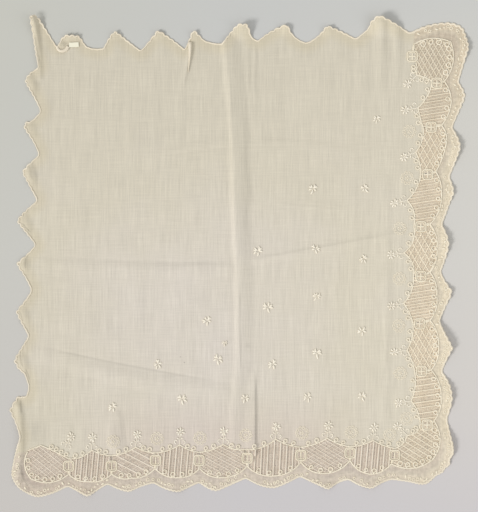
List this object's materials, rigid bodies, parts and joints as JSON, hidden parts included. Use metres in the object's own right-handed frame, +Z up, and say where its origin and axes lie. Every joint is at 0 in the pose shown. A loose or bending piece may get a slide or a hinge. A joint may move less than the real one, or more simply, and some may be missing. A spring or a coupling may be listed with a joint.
{
  "type": "lace fichu",
  "caption": "Square sheer muslin kerchief laid flat, with a scalloped edge, soft folds and a worked openwork border on two sides.",
  "frame": {"origin": "middle of the cloth's bounding box, on the surface that it rests on", "axes": "+Z up from the surface; +Y towards the plain top edge; the worked border runs down the +X side and along the -Y side"},
  "size_m": [0.7997, 0.8411, 0.0162],
  "materials": {
    "muslin": "sheer plain-weave cotton muslin, ivory, with cotton-thread whitework",
    "tape": "plain bare cotton tape, cream"
  },
  "bodies": {
    "root": {"fichu_cloth": "muslin", "tape_tab": "tape"}
  },
  "joints": []
}
